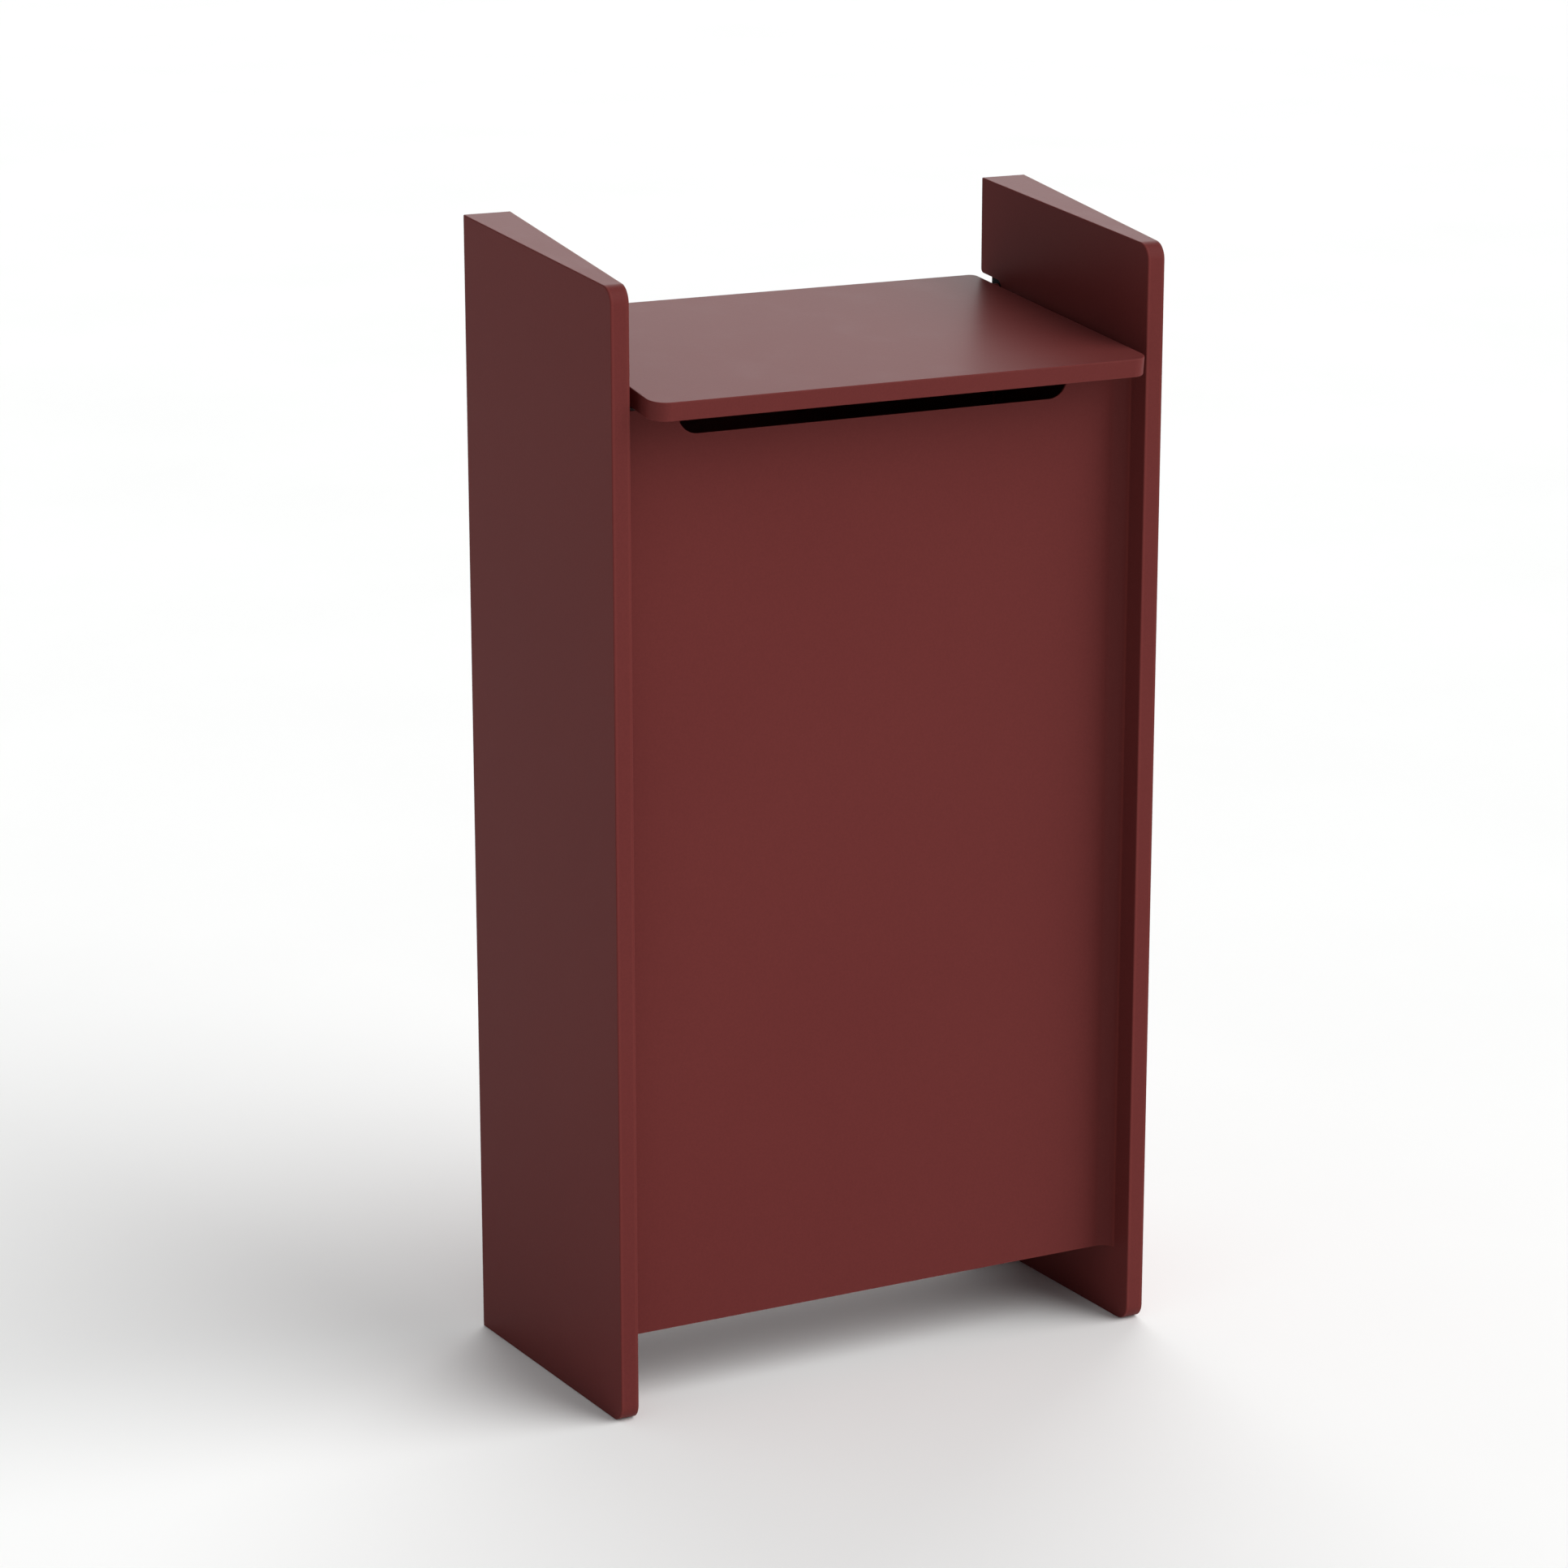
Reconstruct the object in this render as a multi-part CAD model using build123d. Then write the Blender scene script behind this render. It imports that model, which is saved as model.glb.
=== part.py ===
from build123d import *
import os
from math import cos, radians, sin, tan

os.makedirs("parts", exist_ok=True)

# Newspaper box of folded sheet steel. Two hollow, wedge-shaped sides stand on the floor and carry
# a recessed front panel, a back panel, a paper shelf and a lid that swings up about two pins.
# Millimetres, +Z up, front towards -Y, origin on the floor in the middle of the outline.

# overall sizes
overall_height = 1000.0
overall_width = 546.0
side_depth = 259.0
lid_overhang = 24.0

# sheet steel and its edges
sheet = 2.0
edge_round = 1.0

# hollow sides, thickest at the rear
side_rear_thickness = 43.6
side_taper = 3.0
side_top_slope = 6.0
side_top_radius = 15.0
side_foot_radius = 15.0
band_past_corner = 6.0

# slot in each inner plate that takes a hinge pin and the nose of its bearing
pin_slot_width = 16.0
slot_mouth_radius = 4.0

# screwed covers that close the sides at the rear, set in so their screws stay inside the outline
cover_inset = 2.6
cover_notch_width = 9.7
tab_height = 24.0
tab_thickness = 3.0
low_tab_count = 4
low_tab_height = 50.0
tab_below_hinge = 165.0
tab_below_top = 38.0
cover_screw_radius = 2.0
cover_screw_reach = 2.0
cover_head_radius = 4.0
cover_head_height = 2.3
cover_head_round = 0.7
cover_socket_radius = 1.45
cover_socket_depth = 1.2
cover_hole_clearance = 0.1

# lid
lid_thickness = 16.0
lid_slope = 6.9
lid_gap = 10.5
lid_front_radius = 15.0
lid_rear_radius = 7.0
lid_rear_reach = 21.0
lid_opening = 100.0

# liner that closes the lid from below, its stiffeners and rivets
liner_sheet = 1.5
liner_inset = 1.0
liner_clearance = 0.3
stiffener_from_side = 100.0
stiffener_width = 40.0
stiffener_front_gap = 18.0
stiffener_rear_gap = 11.5
liner_rivet_radius = 2.4
liner_rivet_rim = 1.7
liner_rivet_head = 0.9
liner_rivet_round = 0.4
liner_rivet_tail_rim = 1.0
liner_rivet_tail = 1.6
liner_rivet_count = 3
liner_rivet_from_front = 41.0
liner_rivet_from_rear = 27.0

# hinge pins, their bearings and fixings
hinge_drop = 95.4
hinge_from_rear = 25.0
pin_radius = 4.0
pin_clearance = 0.05
pin_reach = 9.0
pin_past_boss = 1.0
pin_chamfer = 0.5
bearing_thickness = 4.0
bearing_length = 26.0
bearing_height = 40.0
bearing_corner = 4.0
bearing_ahead_of_pin = 3.0
bearing_nose_clearance = 0.1
bearing_nose_recess = 1.0
stud_radius = 2.0
stud_spacing = 28.0
stud_hole_clearance = 0.2
stud_past_bearing = 6.0
nut_across_flats = 7.0
nut_height = 3.2
boss_length = 14.0
boss_depth = 20.0
groove_radius = 3.2
clip_thickness = 1.0
clip_radius = 6.5
clip_mouth = 5.2
clip_gap = 0.5
clip_clearance = 0.1

# front panel
panel_setback = 32.0
panel_bottom = 65.0
panel_below_lid = 6.0
panel_bend = 13.2
panel_seam_depth = 0.1
slot_from_side = 56.7
slot_below_top = 23.5
slot_radius = 18.0
shoulder_margin = 3.0
shoulder_depth = 24.0

# rubber buffers that the closed lid comes down on
buffer_radius = 6.0
buffer_stem_radius = 2.0
buffer_barb_radius = 3.2
buffer_barb_height = 2.0
buffer_gap = 0.3

# channel behind the front panel
rail_height = 26.0
rail_depth = 18.0
rail_below_slot = 10.0

# bends of the inner rails
bend_inside = 1.0
bend_outside = 3.0

# back panel
back_inset = 2.6
back_bend = 2.0
back_flange = 22.0
back_below_hinge = 28.6
back_rivet_from_edge = 10.0
back_rivet_low_margin = 35.0
back_rivet_top_margin = 45.0
back_rivet_count = 6

# rail and rubber blocks that stop the open lid
stop_lip = 22.0
stop_from_lid = 6.0
stop_below_lid = 3.0
stop_end_gap = 1.0
stop_width = 30.0
stop_from_side = 78.0
stop_lift = 6.0
stop_top_gap = 0.6

# paper shelf and the brackets under it
shelf_height = 430.0
shelf_lip = 30.0
shelf_gap = 1.0
bracket_leg = 25.0
bracket_past_rivet = 15.0
bracket_rivet_drop = 15.0
shelf_screw_from_side = 15.0

# floor pan
floor_pan_lift = 6.0
floor_pan_flange = 24.0
floor_pan_gap = 3.0
pan_rivet_lift = 13.0
drain_radius = 6.0
drain_from_side = 94.0
drain_from_ends = 50.0

# air that the shelf and the pan leave round the rear flanges
flange_air = 0.5
flange_air_ahead = 1.0

# rivets and screws of the body
rivet_radius = 2.4
rivet_rim = 2.4
rivet_head = 1.7
rivet_head_round = 1.0
rivet_tail_rim = 1.2
rivet_tail = 1.9
row_behind_panel = 35.0
row_ahead_of_flange = 25.0
screw_radius = 2.5
screw_clearance = 0.2
screw_past_bracket = 5.0
screw_head_radius = 4.75
screw_head_height = 2.8
screw_head_round = 1.0
screw_socket_radius = 1.7
screw_socket_depth = 1.6

# floor anchors
anchor_length = 70.0
anchor_leg = 45.0
anchor_thickness = 4.0
anchor_hole_radius = 5.5
anchor_hole_from_side = 26.5
anchor_hole_spacing = 40.0
anchor_ahead_of_back = 2.0
anchor_rivet_radius = 3.0
anchor_rivet_height = 30.0
anchor_rivet_spacing = 35.0

# how far a cut or a shape about to be trimmed runs past the face it meets
past = 1.0

# places that follow from the sizes above
total_depth = side_depth + lid_overhang
y_rear = total_depth / 2
y_front = y_rear - side_depth
y_nose = -y_rear
taper_run = tan(radians(side_taper))
taper_cos = cos(radians(side_taper))
plate_x = sheet / taper_cos
slope_sin = sin(radians(lid_slope))
slope_cos = cos(radians(lid_slope))
hinge_y = y_rear - hinge_from_rear
hinge_z = overall_height - hinge_drop
panel_y = y_front + panel_setback
back_y = y_rear - back_inset
back_flange_y = back_y - back_flange
back_top = hinge_z - back_below_hinge
from_below = (Align.CENTER, Align.CENTER, Align.MIN)
from_above = (Align.CENTER, Align.CENTER, Align.MAX)


def outer_x(y):
    return overall_width / 2 - (y_rear - y) * taper_run


def inner_x(y):
    return overall_width / 2 - side_rear_thickness + (y_rear - y) * taper_run


def lid_underside_z(y):
    drop = lid_thickness / 2 / slope_cos
    return hinge_z - drop - (hinge_y - y) * slope_sin / slope_cos


panel_top = lid_underside_z(panel_y) - panel_below_lid
slot_bottom = panel_top - slot_below_top
slot_half_width = inner_x(panel_y) - slot_from_side


# count places from the first to the last, evenly spaced
def evenly(first, last, count):
    return [first + (last - first) * step / (count - 1) for step in range(count)]


# closed outline with the given corner radius at each point
def rounded(points, radii):
    face = make_face(Polyline(*points, close=True))
    for point, radius in zip(points, radii):
        if radius > 0:
            corner = face.vertices().sort_by_distance(Vector(*point))[0]
            face = fillet(corner, radius)
    return face


# upright block over an outline in plan
def plan_block(face, bottom, top):
    return Pos(0, 0, bottom) * extrude(face, amount=top - bottom, dir=(0, 0, 1))


# block drawn in side view, running across the whole box
def cross_block(face):
    return extrude(Plane.YZ * face, amount=overall_width, both=True)


# block between two lines in plan that lean with the faces of a side
def leaning_block(near_x, far_x, y_start, y_end, bottom, top):
    corners = [
        (near_x(y_start), y_start),
        (far_x(y_start), y_start),
        (far_x(y_end), y_end),
        (near_x(y_end), y_end),
    ]
    return plan_block(make_face(Polyline(*corners, close=True)), bottom, top)


# plain box given by its two opposite corners
def corner_box(low, high):
    size = [b - a for a, b in zip(low, high)]
    middle = [(a + b) / 2 for a, b in zip(low, high)]
    return Pos(*middle) * Box(*size)


# room between the two inner faces, less a gap beside each
def between_sides(gap, y_start=y_front, y_end=y_rear):
    left = lambda y: gap - inner_x(y)
    right = lambda y: inner_x(y) - gap
    return leaning_block(left, right, y_start, y_end, -past, overall_height + past)


# lines in plan along the two faces inside a hollow side
def hollow_near_x(y):
    return inner_x(y) + plate_x


def hollow_far_x(y):
    return outer_x(y) - plate_x


# round bar along X from the origin of its own frame
def bar(radius, length, start=0.0):
    return Pos(start, 0, 0) * Rot(0, 90, 0) * Cylinder(radius, length, align=from_below)


# frame on the inner face of the right side: X into the hollow, Y to the rear, Z up
def on_side(y, z):
    return Pos(inner_x(y), y, z) * Rot(0, 0, side_taper)


# hole through a flange and the inner plate it lies on
def side_hole(y, z, radius):
    return on_side(y, z) * bar(radius, bracket_leg, -bracket_leg / 2)


# frame of the lid: origin on the pin axis, Y to the rear in the lid's own plane
def on_lid():
    return Pos(0, hinge_y, hinge_z) * Rot(lid_slope, 0, 0)


# all the room on the lower side of the lid's plane, at a height in the lid's frame
def below_lid_plane(height):
    return Pos(0, 0, height - total_depth) * Box(overall_width * 2, total_depth * 3, total_depth * 2)


def mirrored(part):
    return mirror(part, about=Plane.YZ)


def save(name, *solids):
    items = []
    for solid in solids:
        items.extend(solid.solids())
    shape = items[0] if len(items) == 1 else Compound(items)
    export_step(shape, f"parts/{name}.step")
    print(name, len(items), "solid", round(sum(s.volume for s in items) / 1000, 1), "cm3")


def save_pair(name, part):
    save(f"{name}_right", part)
    save(f"{name}_left", mirrored(part))


# identical fasteners of both sides share one piece name
def save_both(name, solids):
    save(name, *solids, *[mirrored(solid) for solid in solids])


# Hollow sides


# side view of a wedge; an inset draws the inside of the edge bands, open to the rear
def side_solid(inset=0.0):
    slope = tan(radians(side_top_slope))
    top_inset = inset / cos(radians(side_top_slope))
    end = y_rear + 2 * inset
    front = y_front + inset
    points = [
        (front, inset),
        (end, inset),
        (end, overall_height - top_inset - (y_rear - end) * slope),
        (front, overall_height - top_inset - (y_rear - front) * slope),
    ]
    radii = (side_foot_radius - inset, 0, 0, side_top_radius - inset)
    return cross_block(rounded(points, radii))


# rounds the edges of the large face that shows, all but the one at the rear
def rounded_show_edges(plate, outward):
    big_faces = plate.faces().sort_by(SortBy.AREA)[-2:]
    face = big_faces.sort_by(Axis.X)[-1 if outward else 0]
    edges = [edge for edge in face.edges() if edge.center().Y < y_rear - edge_round]
    return fillet(edges, edge_round)


def outer_plate():
    slab = leaning_block(hollow_far_x, outer_x, y_front, y_rear, 0, overall_height)
    return rounded_show_edges(slab & side_solid(), True)


# slot for the pin and its bearing: full radius at the front end, open to the rear
def pin_slot():
    run = 2 * hinge_from_rear
    straight = Pos(0, run / 2, 0) * Box(2 * overall_width, run, pin_slot_width)
    round_end = bar(pin_slot_width / 2, 2 * overall_width, -overall_width)
    return on_lid() * (straight + round_end)


# rounds the two corners where the slot runs out at the rear
def rounded_slot_mouth(plate):
    rear_edges = [edge for edge in plate.edges() if edge.center().Y > y_rear - slot_mouth_radius]
    corners = [edge for edge in rear_edges if abs(edge.center().Z - hinge_z) < pin_slot_width]
    short_corners = [edge for edge in corners if edge.length < 2 * sheet and edge.center().Y > y_rear - sheet / 2]
    return fillet(short_corners, slot_mouth_radius)


def inner_plate():
    slab = leaning_block(inner_x, hollow_near_x, y_front, y_rear, 0, overall_height)
    plate = rounded_show_edges(slab & side_solid(), False)
    plate = rounded_slot_mouth(plate - pin_slot())
    for y, z in panel_rivet_places():
        plate -= side_hole(y, z, rivet_radius)
    for y, z in anchor_rivet_places():
        plate -= side_hole(y, z, anchor_rivet_radius)
    return plate


# strip that closes the front, top and foot of a side, in three lengths welded end to end;
# the front length is turned round both corners
def edge_band_lengths():
    end = y_rear + past
    high = overall_height + past
    between = leaning_block(hollow_near_x, hollow_far_x, y_front - past, end, -past, high)
    band = (side_solid() - side_solid(sheet)) & between
    turn = y_front + max(side_top_radius, side_foot_radius) + band_past_corner
    wide = overall_width
    front = band & corner_box((0, y_front - past, -past), (wide, turn, high))
    top = band & corner_box((0, turn, overall_height / 2), (wide, y_rear, high))
    foot = band & corner_box((0, turn, -past), (wide, y_rear, overall_height / 2))
    return front, top, foot


# Rear covers of the sides


cover_y = y_rear - cover_inset
cover_middle_x = (inner_x(cover_y) + outer_x(cover_y)) / 2


def cover_screw_heights():
    low = evenly(low_tab_height, hinge_z - tab_below_hinge, low_tab_count)
    return low + [overall_height - tab_below_top]


# bar along -Y from a point on the outer face of the cover
def cover_bar(radius, length, z):
    return Pos(cover_middle_x, cover_y, z) * Rot(90, 0, 0) * Cylinder(radius, length, align=from_below)


def rear_cover():
    cover = leaning_block(hollow_near_x, hollow_far_x, cover_y - sheet, cover_y, 0, overall_height)
    cover &= side_solid(sheet)
    notch_end = inner_x(y_rear) + cover_notch_width
    cover -= pin_slot() & corner_box((0, hinge_y, 0), (notch_end, y_rear, overall_height))
    for z in cover_screw_heights():
        cover -= cover_bar(cover_screw_radius + cover_hole_clearance, 2 * sheet, z)
    return cover


def cover_tabs():
    tabs = []
    y_end = cover_y - sheet
    for z in cover_screw_heights():
        low = z - tab_height / 2
        high = z + tab_height / 2
        tab = leaning_block(hollow_near_x, hollow_far_x, y_end - tab_thickness, y_end, low, high)
        tabs.append(tab - cover_bar(cover_screw_radius, 2 * (sheet + tab_thickness), z))
    return Compound(tabs)


# low head with a hexagon socket, seated on the plane Z = 0 with its shank below
def socket_screw(head_radius, head_height, head_round, socket_radius, socket_depth, radius, length):
    head = Cylinder(head_radius, head_height, align=from_below)
    head = fillet(head.edges().sort_by(Axis.Z)[-1], head_round)
    socket = extrude(RegularPolygon(radius=socket_radius, side_count=6), amount=socket_depth, dir=(0, 0, -1))
    head -= Pos(0, 0, head_height) * socket
    return head + Cylinder(radius, length, align=from_above)


def cover_screw(z):
    screw = socket_screw(
        cover_head_radius,
        cover_head_height,
        cover_head_round,
        cover_socket_radius,
        cover_socket_depth,
        cover_screw_radius,
        sheet + tab_thickness + cover_screw_reach,
    )
    return Pos(cover_middle_x, cover_y, z) * Rot(-90, 0, 0) * screw


# Hinge bearings


bearing_y = hinge_y - bearing_ahead_of_pin


def bearing_stud_heights():
    return hinge_z - stud_spacing / 2, hinge_z + stud_spacing / 2


# flange behind the inner plate with a round nose in the end of the slot, bored for the pin
def hinge_bearing():
    flange = leaning_block(
        hollow_near_x,
        lambda y: hollow_near_x(y) + bearing_thickness / taper_cos,
        bearing_y - bearing_length / 2,
        bearing_y + bearing_length / 2,
        hinge_z - bearing_height / 2,
        hinge_z + bearing_height / 2,
    )
    flange = fillet(flange.edges().filter_by(Axis.X, tolerance=2 * side_taper), bearing_corner)
    nose_room = leaning_block(
        lambda y: inner_x(y) + bearing_nose_recess,
        lambda y: hollow_near_x(y) + bearing_thickness / 2,
        y_front,
        y_rear,
        0,
        overall_height,
    )
    on_axis = Pos(0, hinge_y, hinge_z)
    nose = on_axis * bar(pin_slot_width / 2 - bearing_nose_clearance, overall_width)
    body = flange + (nose & nose_room)
    body -= on_axis * bar(pin_radius + pin_clearance, overall_width)
    for z in bearing_stud_heights():
        body -= side_hole(bearing_y, z, stud_radius + stud_hole_clearance)
    return body


def bearing_stud(z):
    return on_side(bearing_y, z) * bar(stud_radius, bearing_thickness + stud_past_bearing, sheet)


def bearing_nut(z):
    hexagon = RegularPolygon(radius=nut_across_flats / 2, side_count=6, major_radius=False)
    nut = extrude(hexagon, amount=nut_height, dir=(0, 0, 1))
    nut -= Cylinder(stud_radius, 2 * nut_height + past)
    return on_side(bearing_y, z) * Pos(sheet + bearing_thickness, 0, 0) * Rot(0, 90, 0) * nut


# Rivets of the body


def back_rivet_places():
    y = back_flange_y + back_rivet_from_edge
    low = panel_bottom + back_rivet_low_margin
    return [(y, z) for z in evenly(low, back_top - back_rivet_top_margin, back_rivet_count)]


def inside_rivet_rows():
    return evenly(panel_y + row_behind_panel, back_flange_y - row_ahead_of_flange, 3)


def pan_rivet_places():
    return [(y, panel_bottom + floor_pan_lift + pan_rivet_lift) for y in inside_rivet_rows()]


def shelf_rivet_places():
    return [(y, shelf_height - bracket_rivet_drop) for y in inside_rivet_rows()]


def panel_rivet_places():
    return back_rivet_places() + pan_rivet_places() + shelf_rivet_places()


anchor_y = back_y - anchor_ahead_of_back - anchor_length / 2


def anchor_rivet_places():
    half = anchor_rivet_spacing / 2
    return [(anchor_y - half, anchor_rivet_height), (anchor_y + half, anchor_rivet_height)]


# round head inside the box, shank through flange and plate, formed tail in the hollow side
def rivet(y, z, radius, flange):
    head = bar(radius + rivet_rim, rivet_head, -flange - rivet_head)
    head = fillet(head.edges().sort_by(Axis.X)[0], rivet_head_round)
    shank = bar(radius, flange + sheet, -flange)
    tail = bar(radius + rivet_tail_rim, rivet_tail, sheet)
    return on_side(y, z) * (head + shank + tail)


# Front panel


bend_run = panel_bend * tan(radians(45 - side_taper / 2))
bend_start_x = inner_x(panel_y) + panel_seam_depth - bend_run
shoulder_x = (slot_half_width + bend_start_x) / 2
shoulder_y = panel_y + sheet + shoulder_depth / 2


# line in plan that the bend runs up to, just inside the plate that trims it
def seam_x(y):
    return inner_x(y) + panel_seam_depth


# sheet bent forward along both sides; trimmed by the inner faces, it meets them in a welded seam
def front_panel_outline():
    start = panel_y - panel_bend - past
    rear = panel_y + sheet
    points = [
        (seam_x(start) + plate_x, start),
        (seam_x(rear) + plate_x, rear),
        (-seam_x(rear) - plate_x, rear),
        (-seam_x(start) - plate_x, start),
        (-seam_x(start), start),
        (-seam_x(panel_y), panel_y),
        (seam_x(panel_y), panel_y),
        (seam_x(start), start),
    ]
    outside = panel_bend + sheet
    return rounded(points, (0, outside, outside, 0, 0, panel_bend, panel_bend, 0))


# finger slot let into the top edge of the panel
def finger_slot():
    points = [
        (-slot_half_width, slot_bottom),
        (slot_half_width, slot_bottom),
        (slot_half_width, overall_height),
        (-slot_half_width, overall_height),
    ]
    outline = rounded(points, (slot_radius, slot_radius, 0, 0))
    return extrude(Plane.XZ * outline, amount=total_depth, both=True)


# shoulder folded to the rear beside the slot, with the hole for a closing buffer
def shoulder_tab():
    half = bend_start_x - shoulder_x - shoulder_margin
    tab = corner_box(
        (shoulder_x - half, panel_y + sheet / 2, panel_top - sheet),
        (shoulder_x + half, panel_y + sheet + shoulder_depth, panel_top),
    )
    return tab - Pos(shoulder_x, shoulder_y, panel_top) * Cylinder(buffer_stem_radius, 4 * sheet)


def front_panel():
    panel = plan_block(front_panel_outline(), panel_bottom, panel_top) & between_sides(0)
    panel -= finger_slot()
    tab = shoulder_tab()
    return panel + tab + mirrored(tab)


# push-in rubber buffer whose top is cut parallel to the underside of the closed lid
def closing_buffer():
    seat = Pos(shoulder_x, shoulder_y, panel_top)
    post = seat * Cylinder(buffer_radius, lid_thickness + panel_below_lid, align=from_below)
    post &= on_lid() * below_lid_plane(liner_low - buffer_gap)
    stem = seat * Pos(0, 0, past) * Cylinder(buffer_stem_radius, past + sheet, align=from_above)
    barb = seat * Pos(0, 0, -sheet) * Cylinder(buffer_barb_radius, buffer_barb_height, align=from_above)
    return post + stem + barb


# channel from side to side that carries the panel below the slot
def front_rail():
    top = slot_bottom - rail_below_slot
    low = top - rail_height
    face = panel_y + sheet
    outline = rounded(
        [
            (face, low),
            (face, top),
            (face + rail_depth, top),
            (face + rail_depth, top - sheet),
            (face + sheet, top - sheet),
            (face + sheet, low + sheet),
            (face + rail_depth, low + sheet),
            (face + rail_depth, low),
        ],
        (bend_outside, bend_outside, 0, 0, bend_inside, bend_inside, 0, 0),
    )
    return cross_block(outline) & between_sides(0)


# Back panel, and the rail that stops the open lid


def back_panel_outline():
    front = back_y - sheet
    points = [
        (inner_x(back_flange_y), back_flange_y),
        (inner_x(back_y), back_y),
        (-inner_x(back_y), back_y),
        (-inner_x(back_flange_y), back_flange_y),
        (-inner_x(back_flange_y) + plate_x, back_flange_y),
        (-inner_x(front) + plate_x, front),
        (inner_x(front) - plate_x, front),
        (inner_x(back_flange_y) - plate_x, back_flange_y),
    ]
    outside = back_bend + sheet
    return rounded(points, (0, outside, outside, 0, 0, back_bend, back_bend, 0))


def back_panel():
    panel = plan_block(back_panel_outline(), panel_bottom, back_top)
    for y, z in back_rivet_places():
        hole = side_hole(y, z, rivet_radius)
        panel = panel - hole - mirrored(hole)
    return panel


stop_y = hinge_y - lid_thickness / 2 - stop_from_lid
stop_top = lid_underside_z(stop_y - sheet) - stop_below_lid


# rail along the top of the back panel with an upstand in front of the lid's rear edge
def stop_rail():
    rear = back_y - sheet
    outline = rounded(
        [
            (rear, back_top - stop_lip),
            (rear, back_top),
            (stop_y, back_top),
            (stop_y, stop_top),
            (stop_y - sheet, stop_top),
            (stop_y - sheet, back_top - sheet),
            (rear - sheet, back_top - sheet),
            (rear - sheet, back_top - stop_lip),
        ],
        (0, bend_outside, bend_inside, 0, 0, bend_outside, bend_inside, 0),
    )
    return cross_block(outline) & between_sides(plate_x + back_bend + stop_end_gap)


# rubber block on the upstand, its face parallel to the underside of the fully open lid
def stop_buffer():
    x = inner_x(stop_y) - stop_from_side
    low = (x - stop_width / 2, stop_y, back_top + stop_lift)
    high = (x + stop_width / 2, hinge_y, stop_top - stop_top_gap)
    open_lid = Pos(0, hinge_y, hinge_z) * Rot(lid_slope - lid_opening, 0, 0)
    return corner_box(low, high) & open_lid * below_lid_plane(-lid_thickness / 2 - buffer_gap)


# Inside


# room taken by a rear flange of the back panel, with a little air round it
def back_flange_room():
    room = leaning_block(
        lambda y: inner_x(y) - plate_x - back_bend - flange_air,
        lambda y: inner_x(y) + past,
        back_flange_y - flange_air_ahead,
        y_rear,
        0,
        overall_height,
    )
    return room + mirrored(room)


def floor_pan():
    low = panel_bottom + floor_pan_lift
    y_start = panel_y + sheet
    floor = between_sides(0, y_start, back_y - sheet)
    floor &= corner_box((-overall_width, y_front, low), (overall_width, y_rear, low + sheet))
    flange = leaning_block(
        lambda y: inner_x(y) - plate_x,
        inner_x,
        y_start + floor_pan_gap,
        back_flange_y - floor_pan_gap,
        low,
        low + floor_pan_flange,
    )
    for y, z in pan_rivet_places():
        flange -= side_hole(y, z, rivet_radius)
    pan = floor - back_flange_room() + flange + mirrored(flange)
    drain_x = inner_x(y_rear) - drain_from_side
    for x in (-drain_x, drain_x):
        for y in (panel_y + drain_from_ends, back_y - drain_from_ends):
            pan -= Pos(x, y, low) * Cylinder(drain_radius, 4 * sheet)
    return pan


def shelf_screw_places():
    rows = inside_rivet_rows()
    return [(inner_x(y) - shelf_screw_from_side, y) for y in (rows[0], rows[-1])]


def shelf_bracket():
    rows = inside_rivet_rows()
    y_start = rows[0] - bracket_past_rivet
    y_end = rows[-1] + bracket_past_rivet
    low = shelf_height - bracket_leg
    upright = leaning_block(lambda y: inner_x(y) - plate_x, inner_x, y_start, y_end, low, shelf_height)
    ledge = leaning_block(
        lambda y: inner_x(y) - bracket_leg, inner_x, y_start, y_end, shelf_height - sheet, shelf_height
    )
    bracket = upright + ledge
    for y, z in shelf_rivet_places():
        bracket -= side_hole(y, z, rivet_radius)
    for x, y in shelf_screw_places():
        bracket -= Pos(x, y, shelf_height) * Cylinder(screw_radius, 4 * sheet)
    return bracket


def paper_shelf():
    y_start = panel_y + sheet + shelf_gap
    y_end = back_y - sheet - shelf_gap
    wide = overall_width
    lip_top = shelf_height + shelf_lip
    tray = corner_box((-wide, y_start, shelf_height), (wide, y_end, lip_top))
    tray -= corner_box((-wide, y_start + sheet, shelf_height + sheet), (wide, y_end - sheet, lip_top + past))
    tray &= between_sides(plate_x + shelf_gap)
    tray -= back_flange_room()
    for x, y in shelf_screw_places():
        hole = Pos(x, y, shelf_height) * Cylinder(screw_radius + screw_clearance, 4 * sheet)
        tray = tray - hole - mirrored(hole)
    return tray


def shelf_screw(x, y):
    screw = socket_screw(
        screw_head_radius,
        screw_head_height,
        screw_head_round,
        screw_socket_radius,
        screw_socket_depth,
        screw_radius,
        2 * sheet + screw_past_bracket,
    )
    return Pos(x, y, shelf_height + sheet) * screw


# Floor anchors


anchor_hole_x = inner_x(anchor_y) - anchor_hole_from_side


# angle with its foot on the floor, riveted to the inner plate
def anchor_bracket():
    y_start = anchor_y - anchor_length / 2
    y_end = anchor_y + anchor_length / 2
    foot = leaning_block(lambda y: inner_x(y) - anchor_leg, inner_x, y_start, y_end, 0, anchor_thickness)
    upright = leaning_block(
        lambda y: inner_x(y) - anchor_thickness / taper_cos, inner_x, y_start, y_end, 0, anchor_leg
    )
    bracket = foot + upright
    for step in (-anchor_hole_spacing / 2, anchor_hole_spacing / 2):
        hole = Cylinder(anchor_hole_radius, 4 * anchor_thickness)
        bracket -= Pos(anchor_hole_x, anchor_y + step, 0) * hole
    for y, z in anchor_rivet_places():
        bracket -= side_hole(y, z, anchor_rivet_radius)
    return bracket


# Lid, drawn flat in its own frame


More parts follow.
